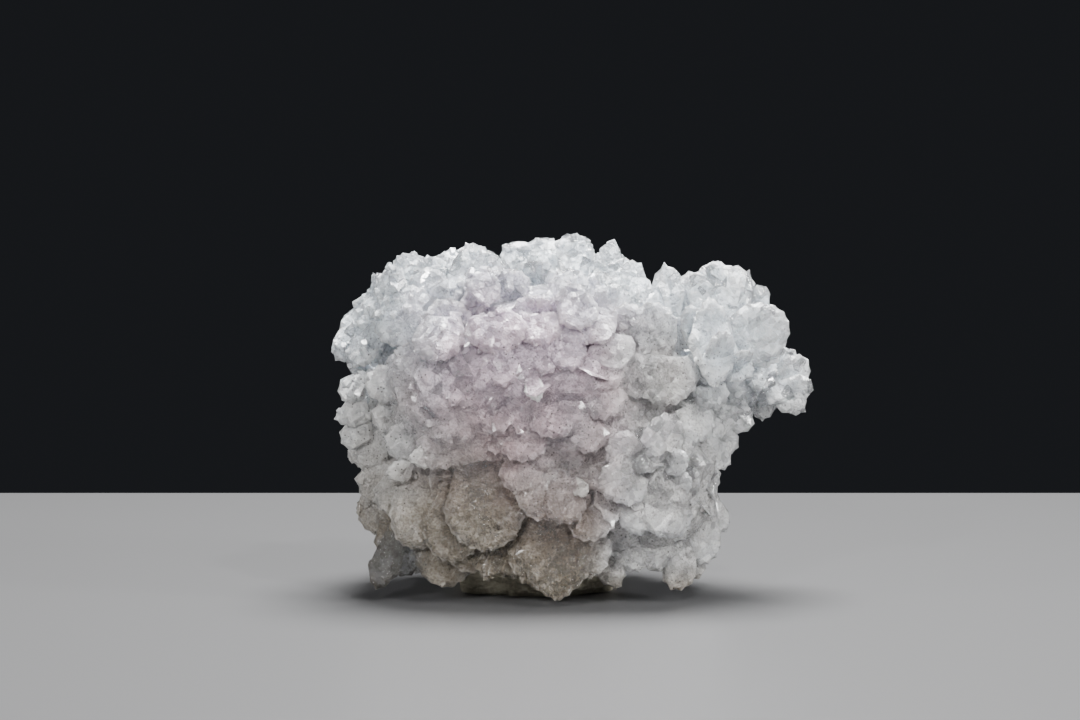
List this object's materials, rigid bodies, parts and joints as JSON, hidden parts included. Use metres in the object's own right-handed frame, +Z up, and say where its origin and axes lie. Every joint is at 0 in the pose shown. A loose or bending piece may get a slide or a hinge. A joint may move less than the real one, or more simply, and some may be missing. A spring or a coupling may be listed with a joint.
{
  "type": "amethyst cluster",
  "caption": "Pale amethyst cluster: stubby quartz blades grown together in overlapping rosettes on a small dark matrix foot, for display on a flat surface.",
  "frame": {"origin": "centre of the flat face that the matrix foot rests on", "axes": "+Z up; +X along the longest side, towards the small side rosette; the broad front, where the blades stand proudest, faces -Y"},
  "size_m": [0.061, 0.0433, 0.0451],
  "materials": {
    "amethyst": "satin",
    "matrix": "matte"
  },
  "bodies": {
    "root": {"amethyst_crystals": "amethyst", "matrix_stone": "matrix"}
  },
  "joints": []
}
